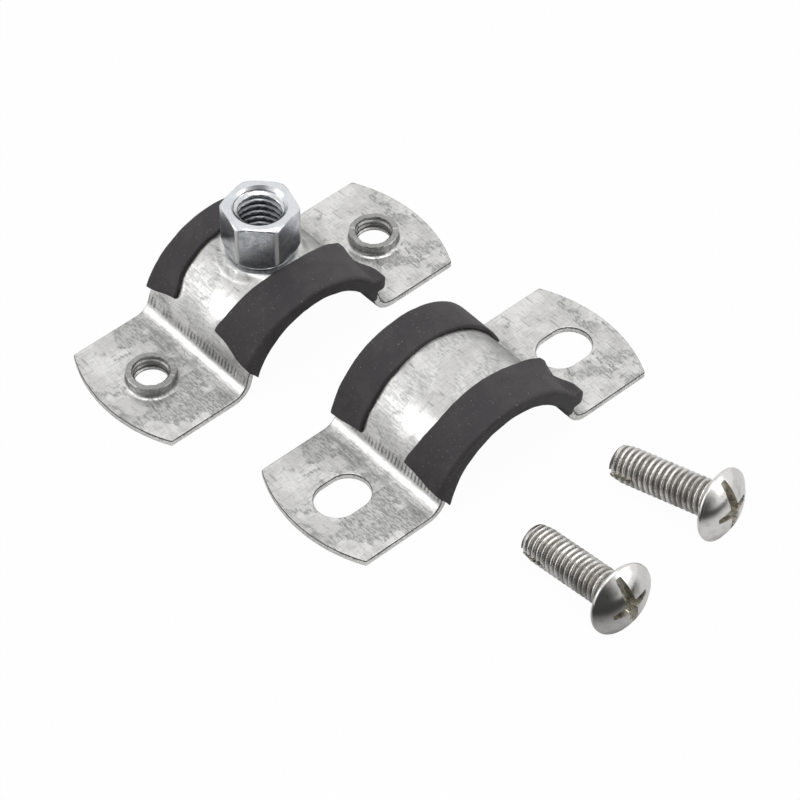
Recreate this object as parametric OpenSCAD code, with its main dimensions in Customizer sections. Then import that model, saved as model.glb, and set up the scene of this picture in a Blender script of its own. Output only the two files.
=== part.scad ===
// Two-piece pipe strap clamp, laid out as it comes apart: the half with the
// threaded boss, the half with the slots, the rubber lining of each half, and
// the two screws that draw the halves together round a pipe.
// Millimetres, +Z up. Every piece lies on the plane z = 0, and the origin is
// at the middle of the layout. Each half runs along X, the pipe along Y.

/* [Pipe and lining] */
// Diameter of the pipe that the lining grips
pipe_d = 24.5; // [20:0.5:32]
// Thickness of the lining between pipe and strap
web_t = 0.65; // [0.5:0.05:1.5]
// Thickness of the lining over the edges of the strap
side_t = 0.65; // [0.5:0.05:1.5]
// Thickness of the lips on the outside of the strap
lip_t = 0.7; // [0.5:0.05:1.2]
// Play between lining and steel
lining_gap = 0.05; // [0.02:0.01:0.1]
// Bare steel between the lips of the slotted half
open_w = 11.1; // [8:0.1:14]
// How far the lips of the slotted half sit off centre
open_shift = 0.35; // [-1:0.05:1]
// Angle at which the slotted half's lining starts, short of the level
slot_lining_start = 14; // [14:1:30]
// Angle at which the boss half's lining starts, short of the level
boss_lining_start = 22; // [14:1:30]
// How far round the bend the other end of the lining follows the strap
lining_flare = 24; // [5:1:40]

/* [Strap] */
// Width of the steel strap
strap_w = 24; // [22:0.5:30]
// Thickness of the steel strap
strap_t = 1.15; // [0.8:0.05:1.5]
// Inside radius of the bend between arch and flange
bend_r = 2.6; // [1.8:0.1:4]
// Height of the arch's centre above the flange's underside
arch_rise = -0.25; // [-1:0.05:0.5]
// Flat length of a flange, from the bend to its rounded end
flange_l = 15.4; // [13:0.2:22]
// Distance of the flange hole from the bend
hole_inset = 6.6; // [6.4:0.1:7.4]
// Radius of the flange's rounded end
end_r = 25.4; // [20:0.2:36]

/* [Slots] */
// Width of a slot
slot_w = 7.2; // [6:0.1:8]
// Length of a slot
slot_l = 9.4; // [8.2:0.1:11]

/* [Threaded collars] */
// Bore of a collar, at the crests of its thread
collar_d = 5.4; // [4.8:0.1:5.6]
// Outside diameter of a collar's rim
rim_d = 7.9; // [7.4:0.1:8.6]
// Height of a collar above the flange
rim_h = 1.95; // [1:0.05:3]
// Radius of the flare at the collar's foot
foot_r = 0.7; // [0.3:0.05:1]
// Radius of the drawn-in edge below the bore
entry_r = 0.6; // [0.3:0.05:0.7]
// Depth of the chamfer inside the rim
rim_bevel = 0.35; // [0.2:0.05:0.6]

/* [Threaded boss] */
// Width across the flats of the boss nut
nut_af = 11; // [10:0.1:12]
// Height of the boss nut
nut_h = 9; // [7:0.1:12]
// Bore of the boss nut, at the crests of its thread
nut_bore_d = 6.8; // [6.6:0.1:7]
// Diameter of the countersunk mouth
mouth_d = 8.8; // [8.2:0.1:9.4]
// Diameter of the nut's rounded foot where it meets the seat
nut_foot_d = 9.8; // [9:0.1:10]
// Height over which the nut's corners round in to its foot
nut_round_h = 2.9; // [1.5:0.1:3.5]
// Slope of the chamfer on the nut's corners
nut_bevel = 30; // [15:1:35]
// Angle of the hexagon against the strap
nut_turn = 14; // [0:1:59]
// Width of the seat that shows round the nut's flats
seat_margin = 0.4; // [0.2:0.05:0.8]
// Width of the skirt that slopes from the seat to the arch
seat_slope = 1.5; // [0.8:0.1:1.8]
// Play between the seat and the lips
seat_gap = 0.35; // [0.2:0.05:0.8]
// Boss off centre along the strap
boss_x = 0.5; // [-1:0.1:1]
// Boss off centre across the strap
boss_y = 0.9; // [-1:0.1:1]

/* [Screws] */
// Outside diameter of the screw's thread
screw_d = 5.9; // [5.2:0.1:6.2]
// Length under the head
screw_l = 18.3; // [12:0.1:25]
// Diameter of the tapered end
point_d = 5.2; // [4.2:0.1:5.2]
// Length of the tapered end
point_l = 1.9; // [1:0.1:3]
// Pitch of the screw's thread
screw_pitch = 1; // [0.9:0.05:1.25]
// Depth of the thread's grooves
groove_depth = 0.5; // [0.3:0.05:0.6]
// Width of a groove at the crests of the thread
groove_mouth = 0.8; // [0.6:0.05:0.85]
// Width of a groove at the roots of the thread
groove_root = 0.2; // [0.1:0.05:0.3]
// Diameter of the head
head_d = 11.7; // [9.8:0.1:12]
// Height of the head
head_h = 3; // [2.6:0.1:3.6]
// Radius of the head's rolled rim
head_rim_r = 0.45; // [0.3:0.05:0.6]
// How far the rolled rim stands proud of the dome
rim_proud = 0.03; // [0.02:0.01:0.1]
// Length of the screwdriver slot
drive_slot_l = 9.2; // [7:0.1:9.4]
// Width of the screwdriver slot
drive_slot_w = 1.2; // [0.8:0.05:1.6]
// Depth of the screwdriver slot below the crown
drive_slot_depth = 1.7; // [1.2:0.1:2]
// Span of the cross recess
drive_cross_l = 6; // [4.5:0.1:7]
// Width of an arm of the cross recess
drive_cross_w = 1; // [0.8:0.05:1.4]
// Depth of the cross recess below the crown
drive_cross_depth = 2.4; // [1.6:0.1:2.6]
// Width of the cutting flute at the point
flute_w = 0.9; // [0.6:0.05:1.2]
// Depth of the cutting flute at the point
flute_depth = 1.1; // [0.5:0.1:1.3]

/* [Layout] */
// Offset of each half along the strap, one way and the other
half_shift = 3.26; // [0:0.1:6]
// Clear distance between the two halves
halves_gap = 12; // [6:0.5:20]
// Clear distance from the slotted half to the first screw's point
screw_gap_1 = 13.5; // [8:0.1:20]
// Clear distance from the slotted half to the second screw's point
screw_gap_2 = 10.7; // [8:0.1:14.4]
// Place of the first screw's point along the strap
screw_x_1 = -4.7; // [-8:0.1:2]
// Place of the second screw's point along the strap
screw_x_2 = 15.4; // [12:0.1:20]
// Heading of the first screw, from point to head
screw_heading_1 = -90.3; // [-95:0.1:-80]
// Heading of the second screw, from point to head
screw_heading_2 = -79.5; // [-85:0.1:-70]
// Turn of the first screw about its own axis
screw_roll_1 = 9; // [-45:1:45]
// Turn of the second screw about its own axis
screw_roll_2 = 1; // [-45:1:45]

/* [Hidden] */
$fn = 96;

eps = 0.01;
steel = [0.78, 0.79, 0.80];
bright_zinc = [0.72, 0.75, 0.79];
polished = [0.70, 0.69, 0.67];
rubber_black = [0.06, 0.06, 0.065];

// Radii of the arch, from the pipe outwards
bore_r = pipe_d / 2;
arch_in = bore_r + web_t + lining_gap;
arch_out = arch_in + strap_t;
lip_in = arch_out + lining_gap;
lip_out = lip_in + lip_t;
crown_z = arch_rise + arch_out;

// The bend's centre touches both the flange and the arch
bend_z = strap_t + bend_r;
bend_angle = asin((bend_z - arch_rise) / (arch_out + bend_r));
bend_x = (arch_out + bend_r) * cos(bend_angle);

half_l = bend_x + flange_l;
hole_x = bend_x + hole_inset;
reach = 2 * half_l;

// How far the two mirrored halves of the arch run past the crown
crown_overlap = 10;

// Half the width of a half with its lining on
lined_y = strap_w / 2 + lining_gap + side_t;

// The pressed seat of the boss, and the bare band that clears it
seat_r = nut_af / 2 + seat_margin;
boss_open_w = 2 * (seat_r + seat_gap);
nut_corner_r = nut_af / sqrt(3);
corner_margin = 0.2;
seat_skirt = arch_out - sqrt(pow(arch_out, 2) - pow(seat_r + seat_slope + abs(boss_x), 2));

// The head's dome is an arc that runs in just under the rolled rim
rim_centre_r = head_d / 2 - head_rim_r;
rim_cover = head_rim_r - rim_proud;
dome_rise = head_h - head_rim_r;
dome_r = (pow(rim_centre_r, 2) + pow(dome_rise, 2) - pow(rim_cover, 2)) / (2 * (dome_rise - rim_cover));
dome_centre = screw_l + head_h - dome_r;
rim_level = screw_l + head_rim_r;
flute_saw_r = 12;

// A screw rests on its rim and on the end of its full thread
lie_drop = rim_centre_r - screw_d / 2;
lie_run = rim_level - point_l;
lie_tilt = acos(-head_rim_r / norm([lie_drop, lie_run])) - atan2(lie_run, lie_drop);
lie_height = screw_d / 2 * cos(lie_tilt) - point_l * sin(lie_tilt);

// Places across the layout, with its box centred on the origin
screw_depth_1 = screw_gap_1 - dome_centre * cos(lie_tilt) * sin(screw_heading_1) + dome_r;
layout_y = 4 * lined_y + halves_gap + screw_depth_1;
boss_half_y = layout_y / 2 - lined_y;
slotted_half_y = boss_half_y - 2 * lined_y - halves_gap;
slotted_face_y = slotted_half_y - lined_y;

// The band of the strap seen from above, with a round right-hand end
module round_end() {
    end_x = half_l - end_r;
    translate([end_x, 0]) circle(end_r);
    translate([end_x - reach, -strap_w / 2]) square([reach, strap_w]);
}

module strap_plan() {
    intersection() {
        square([reach, strap_w], center = true);
        round_end();
        mirror([1, 0]) round_end();
    }
}

// A curved layer between two radii of the arch: over the arch as far as the
// left angle, then round the right-hand bend as far as the flare. Both masks
// share the line between the two centres, so the arcs meet face to face.
module layer_arc(r_in, r_out, left, flare) {
    arch_centre = [0, arch_rise];
    bend_centre = [bend_x, bend_z];
    flare_end = 180 + bend_angle + flare;
    intersection() {
        translate(arch_centre) difference() {
            circle(r_out);
            circle(r_in);
        }
        polygon([arch_centre, bend_centre, [bend_x, reach], [-reach, reach],
                 arch_centre + reach * [-cos(left), sin(left)]]);
    }
    intersection() {
        translate(bend_centre) difference() {
            circle(arch_out + bend_r - r_in);
            circle(arch_out + bend_r - r_out);
        }
        polygon([bend_centre, arch_centre, bend_centre + reach * [cos(flare_end), sin(flare_end)]]);
    }
}

// Side view of the strap: arch, bends and flanges in one thickness
module strap_profile() {
    for (side = [0, 1]) mirror([side, 0]) {
        layer_arc(arch_in, arch_out, 90 - crown_overlap, 90 - bend_angle);
        translate([bend_x, 0]) square([flange_l, strap_t]);
    }
}

module strap_blank() {
    intersection() {
        rotate([90, 0, 0]) linear_extrude(strap_w, center = true) strap_profile();
        translate([0, 0, -eps]) linear_extrude(crown_z + 2 * eps) strap_plan();
    }
}

// Drawn collar: wall, flared foot and bevelled rim, around its own axis
module collar() {
    rim_r = rim_d / 2;
    bore = collar_d / 2;
    rotate_extrude() {
        difference() {
            union() {
                polygon([[bore, strap_t / 2], [rim_r, strap_t / 2], [rim_r, strap_t + rim_h],
                         [bore + rim_bevel, strap_t + rim_h], [bore, strap_t + rim_h - rim_bevel]]);
                translate([rim_r - eps, strap_t - eps]) square(foot_r + eps);
            }
            translate([rim_r + foot_r, strap_t + foot_r]) circle(foot_r);
        }
    }
}

// The hole under a collar, with the sheet drawn in round its edge
module collar_hole() {
    bore = collar_d / 2;
    translate([0, 0, -eps]) cylinder(h = strap_t + 2 * eps, d = collar_d);
    rotate_extrude() difference() {
        translate([0, -eps]) square([bore + entry_r, entry_r + eps]);
        translate([bore + entry_r, entry_r]) circle(entry_r);
    }
}

module slot_hole() {
    run = (slot_l - slot_w) / 2;
    translate([0, 0, -eps]) linear_extrude(strap_t + 2 * eps) {
        for (side = [-1, 1]) translate([side * run, 0]) circle(slot_w / 2);
        square([2 * run, slot_w], center = true);
    }
}

// Flat round seat pressed out of the crown of the arch, with a sloping skirt
module boss_seat() {
    translate([boss_x, boss_y, 0]) difference() {
        translate([0, 0, crown_z - seat_skirt - strap_t / 2])
            cylinder(h = seat_skirt + strap_t / 2, r1 = seat_r + seat_slope, r2 = seat_r);
        translate([-boss_x, 0, arch_rise]) rotate([90, 0, 0])
            cylinder(h = 2 * strap_w, r = arch_out - strap_t / 2, center = true);
    }
}

// One layer of the lining, between two places across the strap
module lining_layer(r_in, r_out, start, y0, y1) {
    translate([0, y1, 0]) rotate([90, 0, 0]) linear_extrude(y1 - y0)
        layer_arc(r_in, r_out, start, lining_flare);
}

// Web against the pipe, a wall over each edge of the strap, and a lip folded
// back over its outside. The lining follows the arch, then the bend on the right
module lining(start, opening, shift) {
    inner_y = strap_w / 2 + lining_gap;
    lining_layer(bore_r, bore_r + web_t, start, -lined_y, lined_y);
    lining_layer(bore_r, lip_out, start, -lined_y, -inner_y);
    lining_layer(bore_r, lip_out, start, inner_y, lined_y);
    lining_layer(lip_in, lip_out, start, -lined_y, shift - opening / 2);
    lining_layer(lip_in, lip_out, start, shift + opening / 2, lined_y);
}

// Hexagon with chamfered top, rounded foot and countersunk thread hole.
// The turned outline is wider than the corners, except where it cuts them
module hex_boss() {
    turned_r = nut_corner_r + corner_margin;
    foot_in = turned_r - nut_foot_d / 2;
    foot_arc_r = (pow(foot_in, 2) + pow(nut_round_h, 2)) / (2 * foot_in);
    bevel_h = (turned_r - nut_af / 2) * tan(nut_bevel);
    difference() {
        intersection() {
            rotate([0, 0, nut_turn]) cylinder(h = nut_h, r = nut_corner_r, $fn = 6);
            rotate_extrude() intersection() {
                polygon([[0, 0], [turned_r, 0], [turned_r, nut_h - bevel_h],
                         [nut_af / 2, nut_h], [0, nut_h]]);
                union() {
                    translate([turned_r - foot_arc_r, nut_round_h]) circle(foot_arc_r);
                    translate([0, nut_round_h]) square([turned_r, nut_h - nut_round_h]);
                }
            }
        }
        translate([0, 0, -eps]) cylinder(h = nut_h + 2 * eps, d = nut_bore_d);
        translate([0, 0, nut_h]) rotate_extrude()
            polygon([[0, eps], [mouth_d / 2 + eps, eps], [0, -mouth_d / 2]]);
    }
}

// Half of the head's section: dome, rolled rim and flat underside. The dome
// ends inside the rim, on the line through both centres
module head_section() {
    dome_point = [0, dome_centre];
    rim_point = [rim_centre_r, rim_level];
    past_rim = 2 * rim_point - dome_point;
    intersection() {
        translate(dome_point) circle(dome_r);
        polygon([[0, screw_l], [rim_centre_r, screw_l], rim_point, past_rim,
                 [0, past_rim[1] + dome_r]]);
    }
    translate(rim_point) circle(head_rim_r);
}

// One groove across the crown, its ends sloping in as it deepens
module drive_groove(length, width, depth) {
    crown = screw_l + head_h;
    foot = (length - depth) / 2;
    rotate([90, 0, 0]) linear_extrude(width, center = true)
        polygon([[-length / 2, crown + eps], [-length / 2, crown], [-foot, crown - depth],
                 [foot, crown - depth], [length / 2, crown], [length / 2, crown + eps]]);
}

// Straight slot and cross in one recess
module drive_recess() {
    drive_groove(drive_slot_l, drive_slot_w, drive_slot_depth);
    for (turn = [0, 90]) rotate(turn) drive_groove(drive_cross_l, drive_cross_w, drive_cross_depth);
}

// Half of the shank's section, its thread cut as rings of the same pitch
module shank_section() {
    crest_r = screw_d / 2;
    last_groove = screw_l - screw_pitch;
    difference() {
        polygon([[0, 0], [point_d / 2, 0], [crest_r, point_l],
                 [crest_r, screw_l + eps], [0, screw_l + eps]]);
        for (level = [screw_pitch : screw_pitch : last_groove]) translate([crest_r, level])
            polygon([[eps, -groove_mouth / 2], [eps, groove_mouth / 2],
                     [-groove_depth, groove_root / 2], [-groove_depth, -groove_root / 2]]);
    }
}

// Screw along +Z from its point
module screw() {
    difference() {
        rotate_extrude() {
            shank_section();
            head_section();
        }
        drive_recess();
        translate([0, -(screw_d / 2 - flute_depth + flute_saw_r), 0]) rotate([0, 90, 0])
            cylinder(h = flute_w, r = flute_saw_r, center = true);
    }
}

module lying_screw(x, y, heading, roll) {
    translate([x, y, lie_height]) rotate([0, 90 - lie_tilt, heading]) rotate([0, 0, roll]) screw();
}

module strap_boss_half() {
    color(steel) translate([-half_shift, boss_half_y, 0]) difference() {
        union() {
            strap_blank();
            boss_seat();
            for (side = [-1, 1]) translate([side * hole_x, 0, 0]) collar();
        }
        for (side = [-1, 1]) translate([side * hole_x, 0, 0]) collar_hole();
    }
}

module strap_slotted_half() {
    color(steel) translate([half_shift, slotted_half_y, 0]) difference() {
        strap_blank();
        for (side = [-1, 1]) translate([side * hole_x, 0, 0]) slot_hole();
    }
}

module lining_boss_half() {
    color(rubber_black) translate([-half_shift, boss_half_y, 0])
        lining(boss_lining_start, boss_open_w, boss_y);
}

module lining_slotted_half() {
    color(rubber_black) translate([half_shift, slotted_half_y, 0])
        lining(slot_lining_start, open_w, open_shift);
}

module boss_nut() {
    color(bright_zinc) translate([boss_x - half_shift, boss_half_y + boss_y, crown_z]) hex_boss();
}

module clamp_screw_1() {
    color(polished) lying_screw(screw_x_1, slotted_face_y - screw_gap_1, screw_heading_1, screw_roll_1);
}

module clamp_screw_2() {
    color(polished) lying_screw(screw_x_2, slotted_face_y - screw_gap_2, screw_heading_2, screw_roll_2);
}

strap_boss_half();
strap_slotted_half();
lining_boss_half();
lining_slotted_half();
boss_nut();
clamp_screw_1();
clamp_screw_2();
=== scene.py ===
import math

import bmesh
import bpy
from bpy.props import FloatProperty, FloatVectorProperty, PointerProperty
from mathutils import Matrix, Vector, noise


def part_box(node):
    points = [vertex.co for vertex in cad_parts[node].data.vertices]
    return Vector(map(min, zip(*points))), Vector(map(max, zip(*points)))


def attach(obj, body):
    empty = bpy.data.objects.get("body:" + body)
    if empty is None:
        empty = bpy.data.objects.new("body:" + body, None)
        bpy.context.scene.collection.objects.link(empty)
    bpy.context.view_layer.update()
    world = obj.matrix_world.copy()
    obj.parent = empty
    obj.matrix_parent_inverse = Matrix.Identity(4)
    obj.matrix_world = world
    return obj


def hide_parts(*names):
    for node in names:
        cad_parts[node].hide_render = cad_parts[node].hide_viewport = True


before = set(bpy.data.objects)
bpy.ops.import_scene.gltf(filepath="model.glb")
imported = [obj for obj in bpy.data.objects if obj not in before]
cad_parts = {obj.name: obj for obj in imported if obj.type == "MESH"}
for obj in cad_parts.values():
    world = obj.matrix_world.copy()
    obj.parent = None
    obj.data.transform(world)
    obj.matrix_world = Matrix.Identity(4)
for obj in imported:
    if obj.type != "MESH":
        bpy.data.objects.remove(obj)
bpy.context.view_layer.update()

bl_info = {
    "name": "Pipe strap clamp",
    "version": (1, 0, 0),
    "blender": (4, 5, 0),
    "location": "View3D > Sidebar > Clamp",
    "description": "Models and finishes a rubber-lined pipe strap clamp, taken apart",
    "category": "Object",
}

MM = 0.001
WELD = 0.001 * MM                       # vertices nearer than this are one
CORNER = math.radians(60)               # edges with a sharper turn than this are corners
BROAD = 0.95                            # faces of the plate less level than this are its edges
THREAD_ROOT, THREAD_CREST = 0.12, 0.86  # where the flank of a worn thread starts and ends
END, WALL, TOP, THREAD = range(4)       # parts of a turned profile
BLANK_STEPS = (110, 48)                 # steps of a strap's half blank, along and across
SLOT_STEPS = 72                         # steps round a slot
COLLAR_STEPS = 120                      # steps round a collar
COLLAR_RINGS = 14                       # rings for each turn of a collar's thread
COLLAR_FADE = 0.3 * MM                  # height over which a collar's thread starts
LINING_STEPS = 160                      # steps along a lining
LINING_RIM = 0.13 * MM                  # rounding of a lining's ends
LIP_RUNS = (6 * MM, 9 * MM)             # how far from its left and right end a lip is slanted
RUBBER_WAVES, RUBBER_CHIPS = 0.35, 1.1  # how close together they lie along a millimetre
RUBBER_SEED = 1                         # without it they would be new ones in every run
BOSS_STEPS = 288                        # steps round the boss
BOSS_RINGS = (72, 120)                  # rings up its sides and down its bore
# The corners' wear also paints a pale highlight line on each corner.
BOSS_WEAR = (1.108, 1.128)              # where a corner starts and ends to wear, in apothems
BORE_SHADE = (0.6 * MM, 3.2 * MM)       # depths at which the bore starts and ends to darken
SCREW_STEPS = 144                       # steps round a screw
SCREW_RINGS = 16                        # rings for each turn of a screw's thread
RIM_STEPS, DOME_STEPS = 14, 39          # steps over the head's rim and over its dome
SCREW_SHARP = 35                        # angle in degrees from which a screw's edges stay sharp


def length(name, description, millimetres):
    """A length, given in millimetres and kept in metres."""
    return FloatProperty(name=name, description=description, default=millimetres * MM, unit="LENGTH",
                         precision=5)


def lengths(name, description, millimetres):
    """Lengths that belong together, such as those of a place, given and kept like one length."""
    return FloatVectorProperty(name=name, description=description, size=len(millimetres),
                               default=[v * MM for v in millimetres], unit="LENGTH")


def trim(name, millimetres):
    """Sideways offsets of a lip's edge at evenly spaced stations from its left end to its right end."""
    return lengths(name, "Offset of the lip's edge at five stations along it", millimetres)


def lip_ends(name, millimetres):
    """How much longer a lip is than the lining at the corners of its ends."""
    return lengths(name, "Left end outside and inside, right end outside and inside", millimetres)


def turn(name, description, degrees):
    """An angle, given in degrees and kept in radians."""
    return FloatProperty(name=name, description=description, default=math.radians(degrees),
                         subtype="ANGLE", unit="ROTATION")


def factor(name, description, default):
    """A share between 0 and 1."""
    return FloatProperty(name=name, description=description, default=default, min=0.0, max=1.0,
                         subtype="FACTOR")


def power(name, description, watts):
    """The power of a lamp."""
    return FloatProperty(name=name, description=description, default=watts, unit="POWER")


def colour(name, description, default):
    """A linear colour."""
    return FloatVectorProperty(name=name, description=description, default=default,
                               size=3, subtype="COLOR", min=0.0, max=1.0)


class StrapSizes(bpy.types.PropertyGroup):
    """Sizes of the steel straps and of the holes in them."""

    width: length("Width", "Width of the strap", 24)
    thickness: length("Thickness", "Thickness of the sheet", 1.15)
    bend_radius: length("Bend radius", "Inside radius between arch and flange", 2.6)
    arch_rise: length("Arch rise", "Height of the arch's centre above the underside", -0.25)
    flange_length: length("Flange length", "Flat length beyond the bend", 15.4)
    hole_inset: length("Hole inset", "Distance of the flange's hole from the bend", 6.6)
    end_radius: length("End radius", "Radius of the flange's rounded end", 25.4)
    slot_width: length("Slot width", "Width of a slot", 7.2)
    slot_length: length("Slot length", "Length of a slot", 9.4)
    edge_round: length("Edge rounding", "Rounding of the sheared edges", 0.16)
    collar_bore: length("Collar bore", "Bore at the crests of a collar's thread", 5.4)
    collar_width: length("Collar width", "Outside diameter of a collar", 7.9)
    collar_height: length("Collar height", "Height of a collar above the flange", 1.95)
    collar_foot: length("Collar foot", "Radius of the flare at a collar's foot", 0.7)
    collar_entry: length("Collar entry", "Radius of the drawn-in edge below", 0.6)
    collar_bevel: length("Collar bevel", "Chamfer inside the rim", 0.35)
    collar_pitch: length("Collar pitch", "Pitch of the collar's thread", 1.0)
    collar_thread: length("Collar thread", "Depth of the collar's thread", 0.34)
    rim_wear: length("Rim wear", "Unevenness of a collar's torn rim", 0.16)


class LiningSizes(bpy.types.PropertyGroup):
    """Sizes of the rubber linings."""

    pipe_diameter: length("Pipe diameter", "Pipe that the lining grips", 24.5)
    web: length("Web", "Thickness between pipe and strap", 0.65)
    side: length("Side", "Thickness over the strap's edges", 0.65)
    lip: length("Lip", "Thickness of the lips", 0.7)
    gap: length("Gap", "Play between lining and steel", 0.05)
    slotted_open: length("Opening, slotted half", "Bare steel between the lips", 11.1)
    slotted_shift: length("Shift, slotted half", "How far the lips sit off centre", 0.35)
    slotted_start: turn("Start, slotted half", "Where the lining starts, above the level", 14)
    boss_open: length("Opening, boss half", "Bare steel between the lips", 12.5)
    boss_shift: length("Shift, boss half", "How far the lips sit off centre", 0.9)
    boss_start: turn("Start, boss half", "Where the lining starts, above the level", 22)
    flare: turn("Flare", "How far round the bend the lining's other end goes", 24)
    slotted_front: trim("Front edge, slotted half", (1.6, 0.05, -0.1, 0.1, 0.3))
    slotted_back: trim("Back edge, slotted half", (0.1, 0.1, 0.1, -0.3, -0.8))
    boss_front: trim("Front edge, boss half", (2.2, 1.0, 0.2, 1.9, 2.6))
    boss_back: trim("Back edge, boss half", (-0.7, 0.5, 0.3, 0.0, -0.5))
    slotted_front_ends: lip_ends("Front lip's ends, slotted half", (0.2, -0.7, -2.7, -6.0))
    slotted_back_ends: lip_ends("Back lip's ends, slotted half", (1.1, 0.3, -4.6, -2.6))
    boss_front_ends: lip_ends("Front lip's ends, boss half", (0.3, -1.3, -3.5, -4.9))
    boss_back_ends: lip_ends("Back lip's ends, boss half", (0.4, -1.1, -6.4, -5.6))
    slotted_lift: length("Lift, slotted half", "How far the front lip stands off on the right", 1.7)
    boss_lift: length("Lift, boss half", "How far the front lip stands off on the right", 1.2)
    slant: length("Slant", "How far the front side leans in over the steel at its left end", 0.85)
    left_lean: length("Left lean", "How far the left end runs on under its lip", 1.9)
    right_lean: length("Right lean", "How far the right end is cut back under its lip", 2.2)
    swell: length("Swell", "Height of the swelling at the lips' right end", 1.5)
    swell_run: length("Swell length", "Length of that swelling", 1.8)
    wave: length("Waves", "Unevenness of the moulded rubber", 0.12)


class BossSizes(bpy.types.PropertyGroup):
    """Sizes of the threaded boss."""

    across_flats: length("Across flats", "Width of the hexagon", 11)
    height: length("Height", "Height of the boss", 9)
    bore: length("Bore", "Bore at the crests of the thread", 6.8)
    pitch: length("Pitch", "Pitch of the thread", 1.25)
    thread: length("Thread depth", "Depth of the thread", 0.66)
    mouth: length("Mouth", "Diameter of the countersink", 8.8)
    foot: length("Foot", "Diameter where the boss meets its seat", 9.8)
    foot_height: length("Foot height", "Height over which the corners round in", 2.9)
    bevel: turn("Bevel", "Slope of the chamfer on the corners", 34)
    heading: turn("Heading", "Angle of a corner against the strap", 14)
    offset: lengths("Offset", "Boss off the middle of the crown", (0.5, 0.9))
    seat_margin: length("Seat margin", "Width of the seat round the flats", 0.4)
    seat_slope: length("Seat slope", "Width of the skirt that slopes from the seat to the arch", 1.5)
    corner_round: length("Corner rounding", "Softness of the hexagon's corners", 0.55)
    top_round: length("Top rounding", "Rounding round the top face", 0.3)


class ScrewSizes(bpy.types.PropertyGroup):
    """Sizes and places of the clamping screws."""

    diameter: length("Diameter", "Outside diameter of the thread", 5.9)
    root: length("Root diameter", "Diameter at the bottom of the thread", 4.9)
    pitch: length("Pitch", "Pitch of the thread", 1.0)
    length: length("Length", "Length under the head", 18.3)
    point: length("Point", "Diameter of the tapered end", 5.2)
    point_length: length("Point length", "Length of the tapered end", 1.9)
    head: length("Head", "Diameter of the head", 11.7)
    head_height: length("Head height", "Height of the head", 3)
    rim: length("Rim", "Radius of the head's rolled rim", 0.45)
    rim_proud: length("Rim proud", "How far the rim stands proud of the dome", 0.03)
    slot_length: length("Slot length", "Length of the screwdriver slot", 12.2)
    slot_width: length("Slot width", "Width of the screwdriver slot", 1.75)
    slot_depth: length("Slot depth", "Depth of the slot below the crown", 1.8)
    cross_length: length("Cross length", "Span of the cross recess", 7.2)
    cross_width: length("Cross width", "Width of an arm of the cross", 1.9)
    cross_tip: length("Cross tip", "Width of an arm of the cross at its tip", 0.9)
    cross_depth: length("Cross depth", "Depth of the cross below the crown", 2.3)
    flute_width: length("Flute width", "Width of the cutting flute", 0.9)
    flute_depth: length("Flute depth", "Depth of the cutting flute at the point", 1.1)
    flute_radius: length("Flute radius", "Radius of the saw that cuts the flute", 12)
    point_1: lengths("First point", "Place along the strap, and distance from the slotted half",
                     (-4.7, 13.5))
    point_2: lengths("Second point", "Place along the strap, and distance from the slotted half",
                     (15.4, 10.7))
    heading_1: turn("First heading", "Direction from the first screw's point to its head", -90.3)
    heading_2: turn("Second heading", "Direction from the second screw's point to its head", -79.5)
    roll_1: turn("First roll", "Turn of the first screw about its axis", 9)
    roll_2: turn("Second roll", "Turn of the second screw about its axis", 1)


class Finishes(bpy.types.PropertyGroup):
    """Colours of the surfaces."""

    zinc: colour("Zinc sheet", "Clean coating of the straps", (0.62, 0.615, 0.605))
    edge_tint: colour("Glancing zinc", "Tint of the straps seen at a glancing angle", (0.5, 0.5, 0.5))
    # Besides real scuffs, this colour also paints shade on the arch's right flank and at the foot of each
    # bend.
    zinc_dull: colour("Dull zinc", "Scuffed coating of the straps", (0.33, 0.33, 0.328))
    zinc_dark: colour("Marked zinc", "Scratches and tool marks on the straps", (0.17, 0.17, 0.168))
    # Also paints the highlight along the folds and the highlight lines on the boss's corners.
    zinc_bright: colour("Rubbed zinc", "Coating rubbed bright", (0.76, 0.755, 0.745))
    sheared: colour("Sheared edge", "Cut edge of the sheet", (0.11, 0.107, 0.103))
    boss: colour("Bright zinc", "Plating of the boss", (0.74, 0.76, 0.785))
    # Also paints shade on the boss's sides.
    boss_dull: colour("Mottled zinc", "Darker plating of the boss", (0.36, 0.385, 0.41))
    # Painted shade: the colour that the bore darkens to with depth.
    bore: colour("Bore", "Painted shade deep in the boss's bore", (0.10, 0.105, 0.115))
    screw: colour("Screw plating", "Plating of the screws", (0.72, 0.71, 0.69))
    # Painted shade in the thread's roots; also the colour of smudges on the heads and burrs in the recess.
    screw_root: colour("Thread roots", "Dull plating between the crests", (0.22, 0.208, 0.185))
    recess: colour("Recess", "Dull plating in the drive recess", (0.72, 0.69, 0.62))
    rubber: colour("Rubber", "Body of the rubber lining", (0.042, 0.038, 0.041))
    rubber_bloom: colour("Rubber bloom", "Pale bloom on the rubber", (0.072, 0.067, 0.069))
    rubber_dust: colour("Rubber dust", "Specks of dust on the rubber", (0.24, 0.23, 0.225))


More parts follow.
